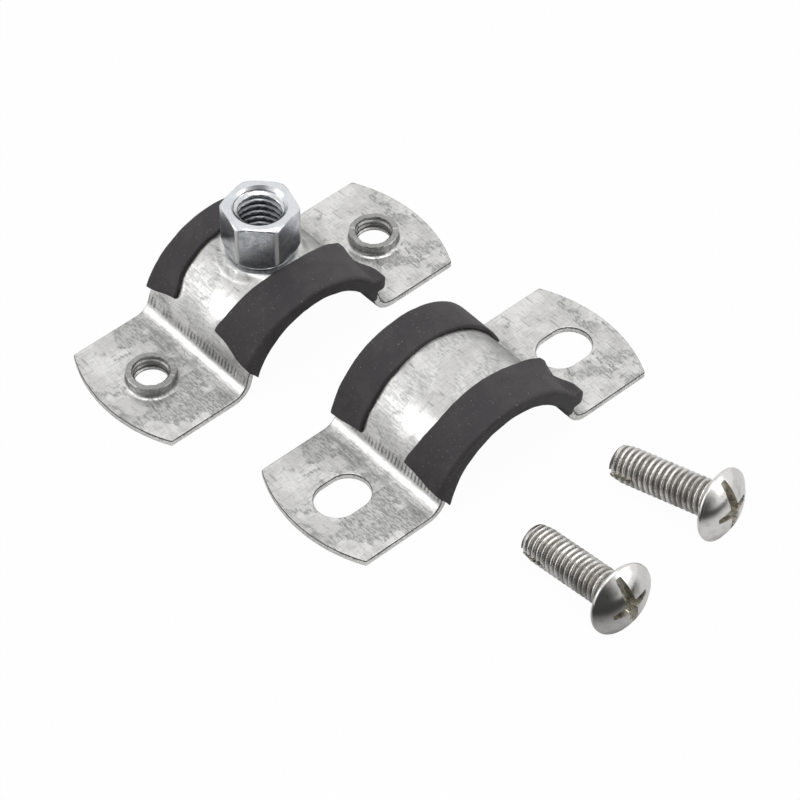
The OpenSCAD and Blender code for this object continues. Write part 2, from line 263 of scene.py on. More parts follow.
class StageSettings(bpy.types.PropertyGroup):
    """Camera, floor and lamps."""

    aim: lengths("Aim", "Point that the camera looks at", (0.39, 8.11, 0.0))
    distance: length("Distance", "Distance of the camera from its aim", 594.7)
    azimuth: turn("Azimuth", "Direction in which the camera looks, from +Y", -41.54)
    elevation: turn("Elevation", "Height of the camera above the horizon", 48)
    lens: FloatProperty(name="Lens", description="Focal length of the camera", default=173.96, unit="CAMERA")
    floor_size: length("Floor size", "Width of the floor", 6000)
    floor: colour("Floor", "Colour of the floor that lights the pieces", (0.6, 0.6, 0.6))
    floor_shine: colour("Floor in reflections", "Colour of the floor in shiny surfaces", (0.93, 0.93, 0.93))
    floor_seen: colour("Floor as seen", "Colour of the floor that the camera sees", (0.95, 0.95, 0.95))
    floor_glow: factor("Floor glow", "Share of plain white in the floor", 0.97)
    sky: factor("Sky", "Light of the surroundings on what isn't shiny", 0.55)
    dim_side: FloatVectorProperty(name="Dim side", description="Direction of the room's unlit side", size=3,
                                  default=(-0.6, -0.77, 0.16), subtype="XYZ")
    dim: factor("Dim light", "Light that comes from the unlit side", 0.07)
    dim_near: length("Dim near", "Distance at which the floor starts to darken on that side", 32)
    dim_far: length("Dim far", "Distance from which it is dark on that side", 60)
    dim_from: factor("Dim from", "Cosine at which the unlit side starts", 0.5)
    dim_to: factor("Dim to", "Cosine within which it is fully dim", 0.93)
    overhead_power: power("Overhead lamp", "Power of the overhead lamp", 3.0)
    side_power: power("Side lamp", "Power of the side lamp", 0.8)
    front_power: power("Front lamp", "Power of the front lamp", 0.75)


def add_object(name, data):
    """Puts a new object with its data in the scene."""
    made = bpy.data.objects.new(name, data)
    bpy.context.scene.collection.objects.link(made)
    return made


def mesh_from(name, bm, finishes=()):
    """Ends a bmesh as a mesh with its finishes."""
    mesh = bpy.data.meshes.new(name)
    bm.to_mesh(mesh)
    bm.free()
    for finish in finishes:
        mesh.materials.append(finish)
    return mesh


def shade_mesh(mesh, sharp):
    """Shades a mesh smoothly, apart from edges sharper than an angle in degrees."""
    mesh.shade_smooth()
    mesh.set_sharp_from_angle(angle=math.radians(sharp))


def piece(name, bm, node, finishes, sharp=40):
    """Turns a bmesh into a finished piece that stands for a node of the frame."""
    mesh = mesh_from(name, bm, finishes)
    shade_mesh(mesh, sharp)
    made = add_object(name, mesh)
    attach(made, "root")
    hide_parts(node)
    return made


def even_normals(made):
    """Keeps broad faces flat beside their narrow rounded edges."""
    modifier = made.modifiers.new("Even normals", "WEIGHTED_NORMAL")
    modifier.keep_sharp = True


def middle_of(node):
    """Middle of a node's box, at the height of the floor."""
    low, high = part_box(node)
    return Vector(((low.x + high.x) / 2, (low.y + high.y) / 2, 0.0))


def whole(bm):
    """Everything in a bmesh."""
    return bm.verts[:] + bm.edges[:] + bm.faces[:]


def face_outwards(bm):
    """Turns every face outwards."""
    bmesh.ops.recalc_face_normals(bm, faces=bm.faces[:])


def round_off(bm, geom, radius, segments=3, affect="EDGES", clamp_overlap=False):
    """Rounds edges or corners."""
    bmesh.ops.bevel(bm, geom=geom, offset=radius, offset_type="OFFSET", segments=segments,
                    profile=0.5, affect=affect, clamp_overlap=clamp_overlap, material=-1)


def spin_line(bm, verts, steps, middle=(0, 0, 0), closed=False):
    """Joins vertices in a line and spins it once round an upright axis."""
    after = verts[1:] + (verts[:1] if closed else [])
    line = [bm.edges.new(pair) for pair in zip(verts, after)]
    bmesh.ops.spin(bm, geom=verts + line, cent=middle, axis=(0, 0, 1), angle=2 * math.pi,
                   steps=steps, use_merge=True)


def turned(points, steps, closed=False):
    """A form spun from points, each given by its radius, its height and its part of the profile."""
    bm = bmesh.new()
    part = bm.verts.layers.int.new("part")
    verts = []
    for radius, height, kind in points:
        vert = bm.verts.new((radius, 0, height))
        vert[part] = kind
        verts.append(vert)
    spin_line(bm, verts, steps, closed=closed)
    return bm, part


def blend_low(a, b, width):
    """The lower of two values, with the change between them rounded over a width."""
    overlap = max(width - abs(a - b), 0.0) / width
    return min(a, b) - overlap * overlap * width / 4


def blend_high(a, b, width):
    """The higher of two values, with the change between them rounded over a width."""
    return -blend_low(-a, -b, width)


def limited(value):
    """A value held between 0 and 1."""
    return min(max(value, 0.0), 1.0)


def ease(value, low, high):
    """0 below low and 1 above high, with a smooth change between."""
    share = limited((value - low) / (high - low))
    return share * share * (3 - 2 * share)


def thread_height(turns):
    """Height of a worn V thread, from 0 in its root to 1 on its crest."""
    flank = abs(2 * (turns % 1.0) - 1)
    straight = limited((flank - THREAD_ROOT) / (THREAD_CREST - THREAD_ROOT))
    return (ease(flank, THREAD_ROOT, THREAD_CREST) + straight) / 2


def thread_turns(height, pitch, angle):
    """Turns of a right-handed thread at a height and a direction."""
    return height / pitch - angle / (2 * math.pi)


class BentSheet:
    """Side view of the strap: an arch, two bends and two flanges in one thickness.

    A point of the flat blank is given by its distance along the strap from the crown,
    its distance across, and its height above the sheet's inner face.
    """

    def __init__(self, strap, lining):
        self.thickness = strap.thickness
        self.half_width = strap.width / 2
        self.rise = strap.arch_rise
        self.bend_radius = strap.bend_radius
        self.arch_in = lining.pipe_diameter / 2 + lining.web + lining.gap
        self.arch_out = self.arch_in + self.thickness
        self.arch_mid = self.arch_in + self.thickness / 2
        self.bend_mid = self.bend_radius + self.thickness / 2
        self.bend_z = self.thickness + self.bend_radius
        reach = self.arch_out + self.bend_radius
        level = math.asin((self.bend_z - self.rise) / reach)
        self.bend_x = reach * math.cos(level)
        self.arch_turn = math.pi / 2 - level
        self.arch_run = self.arch_turn * self.arch_mid
        self.curved_run = self.arch_run + self.arch_turn * self.bend_mid
        self.half_run = self.curved_run + strap.flange_length
        self.hole_run = self.curved_run + strap.hole_inset
        self.crown = self.rise + self.arch_out

    def place(self, along, across, height):
        """Place of a point of the blank once the sheet is bent."""
        side = math.copysign(1.0, along)
        run = abs(along)
        if run < self.arch_run:
            radius = self.arch_in + height
            lean = run / self.arch_mid
            return Vector((side * radius * math.sin(lean), across, self.rise + radius * math.cos(lean)))
        if run < self.curved_run:
            radius = self.bend_z - height
            lean = self.arch_turn - (run - self.arch_run) / self.bend_mid
            return Vector((side * (self.bend_x - radius * math.sin(lean)), across,
                           self.bend_z - radius * math.cos(lean)))
        return Vector((side * (self.bend_x + run - self.curved_run), across, height))

    def bend(self, bm, middle):
        """Bends a flat mesh, keeps each vertex's place on the blank, and moves it to its middle."""
        flat = bm.verts.layers.float_vector.new("blank")
        for vert in bm.verts:
            vert[flat] = vert.co
            vert.co = self.place(*vert.co) + middle


def half_blank(bm, form, strap, add_hole):
    """Right half of the flat blank, from the crown to its rounded end and round its hole."""
    run = form.curved_run
    along_steps, across_steps = BLANK_STEPS
    grid = Matrix.Translation((run / 2, 0, 0)) @ Matrix.Diagonal((run, strap.width, 1, 1))
    bmesh.ops.create_grid(bm, x_segments=along_steps, y_segments=across_steps, size=0.5, matrix=grid)
    add_hole(bm, form, strap)
    inner = [e for e in bm.edges if e.is_boundary and all(abs(v.co.x - run) < WELD for v in e.verts)]
    end_middle = form.half_run - strap.end_radius
    half_turn = math.asin(form.half_width / strap.end_radius)
    corner = end_middle + strap.end_radius * math.cos(half_turn)
    first = bm.verts.new((corner, -form.half_width, 0))
    arc = bmesh.ops.spin(bm, geom=[first], cent=(end_middle, 0, 0), axis=(0, 0, 1),
                         angle=2 * half_turn, steps=across_steps)
    last = next(g for g in arc["geom_last"] if isinstance(g, bmesh.types.BMVert))
    low = min((v for e in inner for v in e.verts), key=lambda v: v.co.y)
    high = max((v for e in inner for v in e.verts), key=lambda v: v.co.y)
    bm.edges.new((low, first))
    bm.edges.new((last, high))
    rim = [e for e in bm.edges if not e.link_faces] + inner
    bmesh.ops.triangle_fill(bm, use_beauty=True, edges=rim, normal=(0, 0, 1))


def plate(form, strap, add_hole):
    """The whole blank as a flat solid plate."""
    bm = bmesh.new()
    half_blank(bm, form, strap, add_hole)
    bmesh.ops.mirror(bm, geom=whole(bm), merge_dist=WELD, axis="X")
    face_outwards(bm)
    grown = bmesh.ops.extrude_face_region(bm, geom=bm.faces[:])
    top = [g for g in grown["geom"] if isinstance(g, bmesh.types.BMVert)]
    bmesh.ops.translate(bm, vec=(0, 0, strap.thickness), verts=top)
    face_outwards(bm)
    return bm


def round_edges(bm, strap, keep=lambda edge: False):
    """Rounds the sheared edges of a plate, apart from those that keep says, and gives them their finish."""
    sharp = [e for e in bm.edges if e.calc_face_angle(0) > CORNER and not keep(e)]
    round_off(bm, sharp, strap.edge_round, clamp_overlap=True)
    for face in bm.faces:
        if abs(face.normal.z) < BROAD:
            face.material_index = 1


def slot_hole(bm, form, strap):
    """Makes the loop of a slot in the blank."""
    loop = bmesh.ops.create_circle(bm, radius=strap.slot_width / 2, segments=SLOT_STEPS,
                                   matrix=Matrix.Translation((form.hole_run, 0, 0)))["verts"]
    spread = (strap.slot_length - strap.slot_width) / 2
    for vert in loop:
        away = vert.co.x - form.hole_run
        if abs(away) > WELD:
            vert.co.x += math.copysign(spread, away)


def collar_reach(strap):
    """Radius at which a collar's foot runs out into the flat flange."""
    return strap.collar_width / 2 + strap.collar_foot


def collar_hole(bm, form, strap):
    """Makes the loop round a collar's foot in the blank."""
    bmesh.ops.create_circle(bm, radius=collar_reach(strap), segments=COLLAR_STEPS,
                            matrix=Matrix.Translation((form.hole_run, 0, 0)))


def quarter_turn(steps):
    """Angles of a quarter turn in even steps."""
    return [math.radians(90 * step / steps) for step in range(steps + 1)]


def collar_section(strap):
    """Radius and height of points down a collar, from the flange over the rim to the underside."""
    foot, bore = strap.collar_foot, strap.collar_bore / 2
    outer = strap.collar_width / 2
    rim = strap.thickness + strap.collar_height
    wall_low = strap.thickness + foot
    top, low = rim - strap.collar_bevel, strap.collar_entry
    rings = round((top - low) / strap.collar_pitch * COLLAR_RINGS)
    points = [(outer + foot * (1 - math.sin(angle)), strap.thickness + foot * (1 - math.cos(angle)))
              for angle in quarter_turn(8)]
    points += [(outer, wall_low + share * (rim - wall_low)) for share in (0.4, 0.75, 0.9)]
    points += [(outer - share * (outer - bore - strap.collar_bevel), rim)
               for share in (0.12, 0.35, 0.65, 1.0)]
    points += [(bore, top - (top - low) * ring / rings) for ring in range(rings + 1)]
    points += [(bore + low * (1 - math.cos(angle)), low * (1 - math.sin(angle)))
               for angle in quarter_turn(6)[1:]]
    return points + [(outer + foot, 0.0)]


def torn(angle, seed):
    """Unevenness of a torn rim in a direction."""
    x, y = math.cos(angle), math.sin(angle)
    coarse = noise.noise(Vector((x * 3, y * 3, seed)))
    return coarse + 0.6 * noise.noise(Vector((x * 9, y * 9, seed + 5)))


def add_collar(bm, strap, middle, seed):
    """Spins a collar into its hole in the plate, then gives it a thread and a torn rim."""
    reach = collar_reach(strap)
    centre = Vector((middle, 0, 0))
    walls = [f for f in bm.faces if all(abs((v.co - centre).xy.length - reach) < WELD for v in f.verts)]
    bmesh.ops.delete(bm, geom=walls, context="FACES")
    section = [bm.verts.new((middle + r, 0, h)) for r, h in collar_section(strap)]
    before = set(bm.verts)
    spin_line(bm, section, COLLAR_STEPS, centre)
    spun = [v for v in bm.verts if v not in before] + section
    bore = strap.collar_bore / 2
    rim = strap.thickness + strap.collar_height
    for vert in spun:
        if not vert.is_valid:
            continue
        around = vert.co - centre
        radius = around.xy.length
        angle = math.atan2(around.y, around.x)
        if radius < bore + WELD:
            turns = thread_turns(around.z, strap.collar_pitch, angle)
            fade = ease(around.z, strap.collar_entry, strap.collar_entry + COLLAR_FADE)
            wider = strap.collar_thread * (1 - thread_height(turns)) * fade
            vert.co.xy = centre.xy + around.xy.normalized() * (radius + wider)
        lift = ease(around.z, strap.thickness + strap.collar_foot, rim)
        vert.co.z += lift * strap.rim_wear * (torn(angle, seed) - 0.4)
    bmesh.ops.remove_doubles(bm, verts=bm.verts[:], dist=WELD)
    for face in bm.faces:
        away = face.calc_center_median() - centre
        if away.z > strap.collar_entry and away.xy.length < strap.collar_width / 2 - 0.12 * MM:
            face.material_index = 1


def press_seat(bm, form, boss, middle):
    """Presses the flat seat of the boss out of the crown of the bent arch."""
    axis = middle.xy + Vector(boss.offset)
    radius = boss.across_flats / 2 + boss.seat_margin
    flat = bm.verts.layers.float_vector["blank"]
    for vert in bm.verts:
        along, across, height = vert[flat]
        if abs(along) > form.arch_run:
            continue
        away = (vert.co.xy - axis).length
        level = 1 - ease(away, radius, radius + boss.seat_slope)
        drop = form.rise + form.arch_in + height - vert.co.z
        vert.co.z += level * drop


def make_slotted_strap(form, strap, finishes):
    """The half with two slots."""
    bm = plate(form, strap, slot_hole)
    round_edges(bm, strap)
    form.bend(bm, middle_of("strap_slotted_half"))
    face_outwards(bm)
    even_normals(piece("slotted_strap", bm, "strap_slotted_half", finishes))


def make_boss_strap(form, strap, boss, finishes):
    """The half with the boss's seat and two collars."""
    hole = Vector((form.hole_run, 0))
    reach = collar_reach(strap)

    def at_collar(edge):
        return all(abs((Vector((abs(v.co.x), v.co.y)) - hole).length - reach) < WELD for v in edge.verts)

    bm = plate(form, strap, collar_hole)
    round_edges(bm, strap, at_collar)
    for seed, side in enumerate((-1, 1)):
        add_collar(bm, strap, side * form.hole_run, seed)
    middle = middle_of("strap_boss_half")
    form.bend(bm, middle)
    press_seat(bm, form, boss, middle)
    face_outwards(bm)
    even_normals(piece("boss_strap", bm, "strap_boss_half", finishes))


def lining_section(bm, form, lining, low, high):
    """Channel section of a lining: web, sides and lips, with rounded corners."""
    inner = form.half_width + lining.gap
    outer = inner + lining.side
    web_in, web_out = -lining.gap - lining.web, -lining.gap
    lip_in = form.thickness + lining.gap
    lip_out = lip_in + lining.lip
    corners = [(-outer, web_in), (outer, web_in), (outer, lip_out), (high, lip_out), (high, lip_in),
               (inner, lip_in), (inner, web_out), (-inner, web_out), (-inner, lip_in),
               (low, lip_in), (low, lip_out), (-outer, lip_out)]
    verts = [bm.verts.new((0, across, height)) for across, height in corners]
    bm.faces.new(verts)
    under_sides, over_sides, lip_top, lip_bottom = (0, 1), (2, 11), (3, 10), (4, 9)
    for radius, pair in ((0.4, under_sides), (0.55, over_sides), (0.26, lip_top), (0.2, lip_bottom)):
        round_off(bm, [verts[i] for i in pair], radius * MM, segments=5, affect="VERTICES")
    broad = [e for e in bm.edges if e.calc_length() > 1.5 * MM]
    bmesh.ops.subdivide_edges(bm, edges=broad, cuts=9)


def along_stations(values, share):
    """Value at a share of the way along evenly spaced stations, on a smooth curve through them."""
    place = limited(share) * (len(values) - 1)
    start = min(int(place), len(values) - 2)
    t = place - start
    before, low, high, after = (values[min(max(start + i, 0), len(values) - 1)] for i in (-1, 0, 1, 2))
    rise, enter, leave = high - low, (high - before) / 2, (after - low) / 2
    return low + t * enter + t ** 2 * (3 * rise - 2 * enter - leave) + t ** 3 * (enter + leave - 2 * rise)


def mould_lining(bm, form, lining, span, edges, trims, ends, lift, seed):
    """Moves a flat lining's vertices: uneven lip edges, slanting ends, a swollen end and soft waves."""
    first, last = span
    outer = form.half_width + lining.gap + lining.side
    web_in = -lining.gap - lining.web
    lip_out = form.thickness + lining.gap + lining.lip
    noise.seed_set(RUBBER_SEED)
    for vert in bm.verts:
        along, across, height = vert.co
        share = (along - first) / (last - first)
        side = 0 if across < 0 else 1
        left_outer, left_inner, right_outer, right_inner = ends[side]
        inward = limited((outer - abs(across)) / (outer - abs(edges[side])))
        depth = (lip_out - height) / (lip_out - web_in)
        lipped = ease(height, 0.0, form.thickness)
        if height > form.thickness:
            vert.co.y += inward * along_stations(trims[side], share)
            swell = lining.swell * math.exp(-((along - last + lining.swell_run) / lining.swell_run) ** 2)
            if side == 0:
                vert.co.z += swell * ease(height, form.thickness, lip_out) * (1 - ease(inward, 0.2, 0.7))
                vert.co.z += lift * ease(share, 0.6, 0.84) * (0.12 + 0.88 * inward ** 3)
        if side == 0:
            vert.co.y += lining.slant * (1 - ease(share, 0.0, 0.4)) * (1 - inward) * (1 - depth)
        curve = ease(inward, 0.0, 1.0)
        left = left_outer + curve * (left_inner - left_outer)
        right = right_outer + curve * (right_inner - right_outer)
        near_left = 1 - ease(along, first, first + LIP_RUNS[0])
        near_right = ease(along, last - LIP_RUNS[1], last)
        vert.co.x -= near_left * (left * lipped + lining.left_lean * (depth - 0.5))
        vert.co.x += near_right * (right * (0.35 + 0.65 * lipped) - lining.right_lean * depth)
        place = Vector((along, across, height)) / MM
        wave = noise.noise_vector(place * RUBBER_WAVES + Vector((seed * 7.0, 0, 0)))
        chip = noise.noise_vector(place * RUBBER_CHIPS + Vector((0, seed * 9.0, 0)))
        rough = ease(abs(height - form.thickness / 2), form.thickness / 2, form.thickness / 2 + 0.3 * MM)
        vert.co += Vector((1.0, 1.0, 0.35)) * wave * lining.wave * rough
        vert.co += Vector((0.5, 0.5, 0.15)) * chip * lining.wave * rough * 0.6


def make_lining(half, form, lining, finish, seed):
    """A rubber lining: its section drawn along the arch and round the right-hand bend."""
    def size(name):
        return getattr(lining, f"{half}_{name}")

    bm = bmesh.new()
    low, high = size("shift") - size("open") / 2, size("shift") + size("open") / 2
    lining_section(bm, form, lining, low, high)
    first = -(math.pi / 2 - size("start")) * form.arch_mid
    last = form.arch_run + lining.flare * form.bend_mid
    bmesh.ops.translate(bm, vec=(first, 0, 0), verts=bm.verts[:])
    bmesh.ops.spin(bm, geom=whole(bm), cent=(0, 0, 0), axis=(1, 0, 0),
                   dvec=((last - first) / LINING_STEPS, 0, 0), angle=0.0, steps=LINING_STEPS)
    face_outwards(bm)
    rims = [e for e in bm.edges if e.calc_face_angle(0) > CORNER
            and abs(e.verts[0].co.x - e.verts[1].co.x) < WELD
            and min(abs(e.verts[0].co.x - first), abs(e.verts[0].co.x - last)) < WELD]
    round_off(bm, rims, LINING_RIM, clamp_overlap=True)
    bmesh.ops.triangulate(bm, faces=[f for f in bm.faces if len(f.verts) > 4])
    mould_lining(bm, form, lining, (first, last), (low, high), (size("front"), size("back")),
                 (size("front_ends"), size("back_ends")), size("lift"), seed)
    form.bend(bm, middle_of(f"strap_{half}_half"))
    face_outwards(bm)
    piece(f"{half}_lining", bm, f"lining_{half}_half", [finish], sharp=70)


class BossForm:
    """Shape of the threaded boss, as radii at a height and a direction."""

    spare = 0.2 * MM            # how much wider than its corners the boss is turned
    chamfer_blend = 0.3 * MM    # softness between the flats and the chamfer
    mouth_blend = 0.06 * MM     # softness between the thread and the countersink

    def __init__(self, boss):
        self.boss = boss
        self.apothem = boss.across_flats / 2
        self.turned = self.apothem / math.cos(math.pi / 6) + self.spare
        self.bevel_height = (self.turned - self.apothem) * math.tan(boss.bevel)
        inset = self.turned - boss.foot / 2
        self.foot_radius = (inset ** 2 + boss.foot_height ** 2) / (2 * inset)

    def hexagon(self, angle):
        """Radius of the rounded hexagon."""
        sixth = math.pi / 3
        off = (angle - self.boss.heading) % sixth - sixth / 2
        flat = self.apothem / math.cos(off)
        next_flat = self.apothem / math.cos(sixth - abs(off))
        return blend_low(flat, next_flat, self.boss.corner_round)

    def turned_outline(self, height):
        """Radius of the turned chamfer and of the rounded foot."""
        top = self.boss.height - self.bevel_height
        if height > top:
            share = (height - top) / self.bevel_height
            return self.turned + share * (self.apothem - self.turned)
        if height < self.boss.foot_height:
            below = self.boss.foot_height - height
            return self.turned - self.foot_radius + math.sqrt(self.foot_radius ** 2 - below ** 2)
        return self.turned

    def outside(self, angle, height):
        """Radius of the outside."""
        away = limited(1 - (self.boss.height - height) / self.boss.top_round)
        rolled = self.boss.top_round * (1 - math.sqrt(1 - away * away))
        return blend_low(self.hexagon(angle), self.turned_outline(height), self.chamfer_blend) - rolled

    def hole(self, angle, height):
        """Radius of the threaded hole with its countersink."""
        turns = thread_turns(height, self.boss.pitch, angle)
        thread = self.boss.bore / 2 + self.boss.thread * (1 - thread_height(turns))
        cone = self.boss.mouth / 2 - (self.boss.height - height)
        return blend_high(thread, cone, self.mouth_blend)


def make_boss(sheet, boss, finish):
    """The hexagonal threaded boss: a profile spun round, then drawn in to its flats and its thread."""
    form = BossForm(boss)
    wall_rings, bore_rings = BOSS_RINGS
    inside, outside = boss.mouth / 2, form.apothem
    profile = [(outside, boss.height * i / wall_rings, WALL) for i in range(wall_rings + 1)]
    profile += [(outside + share * (inside - outside), boss.height, TOP)
                for share in (0.06, 0.2, 0.5, 0.8, 0.94)]
    profile += [(inside, boss.height * (1 - i / bore_rings), THREAD) for i in range(bore_rings + 1)]
    bm, part = turned(profile, BOSS_STEPS, closed=True)
    crest = bm.verts.layers.float.new("crest")
    depth = bm.verts.layers.float.new("depth")
    for vert in bm.verts:
        angle = math.atan2(vert.co.y, vert.co.x)
        height = vert.co.z
        if vert[part] == WALL:
            radius = form.outside(angle, height)
            # Worn pale on each corner, which also paints a highlight line there.
            vert[crest] = ease(radius, form.apothem * BOSS_WEAR[0], form.apothem * BOSS_WEAR[1])
        elif vert[part] == THREAD:
            radius = form.hole(angle, height)
            vert[crest] = 1 - ease(radius, boss.bore / 2, boss.bore / 2 + boss.thread)
            # Painted shade: the bore darkens with depth below the top.
            vert[depth] = ease(boss.height - height, *BORE_SHADE)
        else:
            inner = form.hole(angle, boss.height)
            outer = form.outside(angle, boss.height)
            share = (vert.co.xy.length - inside) / (outside - inside)
            radius = inner + share * (outer - inner)
        vert.co.xy = Vector((math.cos(angle), math.sin(angle))) * radius
    middle = middle_of("strap_boss_half")
    bmesh.ops.translate(bm, vec=(middle.x + boss.offset[0], middle.y + boss.offset[1], sheet.crown),
                        verts=bm.verts[:])
    face_outwards(bm)
    piece("threaded_boss", bm, "boss_nut", [finish], sharp=32)


class ScrewForm:
    """Shape of a clamping screw along +Z from its point."""

    runout = (0.9 * MM, 0.2 * MM)   # where the thread starts and ends to run out, below the head
    runout_height = 0.35            # height of the plain neck that it runs out into
    taper_blend = 0.08 * MM         # softness between the thread and the tapered end

    def __init__(self, screw):
        self.screw = screw
        self.rim_middle = screw.head / 2 - screw.rim
        cover = screw.rim - screw.rim_proud
        rise = screw.head_height - screw.rim
        self.dome = (self.rim_middle ** 2 + rise ** 2 - cover ** 2) / (2 * (rise - cover))
        self.crown = screw.length + screw.head_height
        self.dome_middle = self.crown - self.dome
        self.rim_level = screw.length + screw.rim
        drop = self.rim_middle - screw.diameter / 2
        run = self.rim_level - screw.point_length
        self.tilt = math.acos(-screw.rim / math.hypot(drop, run)) - math.atan2(run, drop)
        self.rest = screw.diameter / 2 * math.cos(self.tilt) - screw.point_length * math.sin(self.tilt)

    def lie(self, point, heading, roll):
        """Matrix that lays the screw down with its point at a place."""
        place = Matrix.Translation((point.x, point.y, self.rest))
        return (place @ Matrix.Rotation(heading, 4, "Z") @ Matrix.Rotation(math.pi / 2 - self.tilt, 4, "Y")
                @ Matrix.Rotation(roll, 4, "Z"))

    def shank(self, angle, height):
        """Radius of the threaded shank, and how near the point is to a crest."""
        screw = self.screw
        crest, root = screw.diameter / 2, screw.root / 2
        near = thread_height(thread_turns(height, screw.pitch, angle))
        plain = ease(height, screw.length - self.runout[0], screw.length - self.runout[1])
        radius = root + (crest - root) * (near * (1 - plain) + self.runout_height * plain)
        taper = screw.point / 2 + (crest - screw.point / 2) * height / screw.point_length
        return blend_low(radius, taper, self.taper_blend), near


def tapered_cutter(span, width, tip, depth, crown, heading):
    """One groove of the drive recess, its ends sloping in as it deepens and narrowing to a tip."""
    above = 0.8 * MM    # reach of the cutter over the crown
    bottom = 0.6        # width at the bottom, as a share of that at the crown
    bm = bmesh.new()
    bmesh.ops.create_cube(bm, size=1.0)
    long = [e for e in bm.edges if e.verts[0].co.x * e.verts[1].co.x < 0]
    bmesh.ops.subdivide_edges(bm, edges=long, cuts=1)
    for vert in bm.verts:
        low = vert.co.z < 0
        side = round(2 * vert.co.x)
        half = (span - depth) / 2 if low else (span + above) / 2
        wide = (tip if side else width) * (bottom if low else 1.0 + (1 - bottom) * above / depth)
        vert.co = (side * half, math.copysign(wide / 2, vert.co.y), crown - depth if low else crown + above)
    corners = [e for e in bm.edges if e.verts[0].co.z != e.verts[1].co.z and abs(e.verts[0].co.x) > WELD]
    round_off(bm, corners, tip * 0.14)
    bmesh.ops.rotate(bm, cent=(0, 0, 0), matrix=Matrix.Rotation(heading, 3, "Z"), verts=bm.verts[:])
    return bm


def screw_cutters(screw, form):
    """The slot, the two arms of the cross, and the saw that cuts the flute."""
    cutters = [tapered_cutter(screw.slot_length, screw.slot_width, screw.slot_width, screw.slot_depth,
                              form.crown, 0.0)]
    for heading in (0.0, math.pi / 2):
        cutters.append(tapered_cutter(screw.cross_length, screw.cross_width, screw.cross_tip,
                                      screw.cross_depth, form.crown, heading))
    saw = bmesh.new()
    place = Matrix.Translation((0, -(screw.diameter / 2 - screw.flute_depth + screw.flute_radius), 0))
    bmesh.ops.create_cone(saw, cap_ends=True, segments=180, radius1=screw.flute_radius,
                          radius2=screw.flute_radius, depth=screw.flute_width,
                          matrix=place @ Matrix.Rotation(math.pi / 2, 4, "Y"))
    return cutters + [saw]


def cut(made, cutters, finish):
    """Cuts closed meshes out of a piece; the new walls take the given finish."""
    made.data.materials.append(finish)
    for bm in cutters:
        mesh = mesh_from("cutter", bm, made.data.materials)
        for polygon in mesh.polygons:
            polygon.material_index = len(made.data.materials) - 1
        tool = add_object("cutter", mesh)
        modifier = made.modifiers.new("Cut", "BOOLEAN")
        modifier.object = tool
        modifier.operation = "DIFFERENCE"
        modifier.solver = "MANIFOLD"
        with bpy.context.temp_override(object=made, active_object=made, selected_objects=[made]):
            bpy.ops.object.modifier_apply(modifier=modifier.name)
        bpy.data.objects.remove(tool)
        bpy.data.meshes.remove(mesh)


def screw_profile(screw, form):
    """Radius, height and part of points along a screw, from its point over the rim to the crown."""
    radius, under = screw.diameter / 2, screw.length
    rings = round(under / screw.pitch * SCREW_RINGS)
    profile = [(screw.point / 2 * share, 0.0, END) for share in (0.0, 0.5, 0.86)]
    profile += [(radius, under * i / rings, THREAD) for i in range(rings + 1)]
    profile += [(radius + share * (form.rim_middle - radius), under, TOP) for share in (0.15, 0.5, 0.85)]
    join = math.atan2(form.rim_middle, form.rim_level - form.dome_middle)
    for step in range(RIM_STEPS + 1):
        angle = -math.pi + (math.pi - join) * step / RIM_STEPS
        profile.append((form.rim_middle - screw.rim * math.sin(angle),
                        form.rim_level + screw.rim * math.cos(angle), TOP))
    for step in range(1, DOME_STEPS + 1):
        lean = join * (1 - step / DOME_STEPS)
        profile.append((form.dome * math.sin(lean), form.dome_middle + form.dome * math.cos(lean), TOP))
    return profile


def make_screw(number, screw, point, heading, roll, finishes):
    """A domed screw: its profile spun round, the thread pressed in, and the recess and the flute cut."""
    form = ScrewForm(screw)
    bm, part = turned(screw_profile(screw, form), SCREW_STEPS)
    bmesh.ops.remove_doubles(bm, verts=bm.verts[:], dist=WELD)
    crest = bm.verts.layers.float.new("crest")
    local = bm.verts.layers.float_vector.new("blank")
    for vert in bm.verts:
        vert[local] = vert.co
        vert[crest] = 1.0
        if vert[part] == THREAD:
            angle = math.atan2(vert.co.y, vert.co.x)
            radius, vert[crest] = form.shank(angle, vert.co.z)
            vert.co.xy = Vector((math.cos(angle), math.sin(angle))) * radius
    face_outwards(bm)
    for face in bm.faces:
        if all(v[part] == THREAD or v.co.z < WELD for v in face.verts):
            face.material_index = 1
    made = piece(f"screw_{number}", bm, f"clamp_screw_{number}", finishes[:2], SCREW_SHARP)
    cut(made, screw_cutters(screw, form), finishes[2])
    shade_mesh(made.data, SCREW_SHARP)
    made.data.transform(form.lie(point, heading, roll))
    even_normals(made)


class Value:
    """A shader socket that takes part in arithmetic."""

    def __init__(self, shading, socket):
        self.shading = shading
        self.socket = socket

    def __add__(self, other):
        return self.shading.math("ADD", self, other)

    def __sub__(self, other):
        return self.shading.math("SUBTRACT", self, other)

    def __rsub__(self, other):
        return self.shading.math("SUBTRACT", other, self)

    def __mul__(self, other):
        return self.shading.math("MULTIPLY", self, other)

    __radd__ = __add__
    __rmul__ = __mul__


def swing(noise_value, amount):
    """A noise that swings to either side of 0, by half the amount at most."""
    return amount * (noise_value - 0.5)


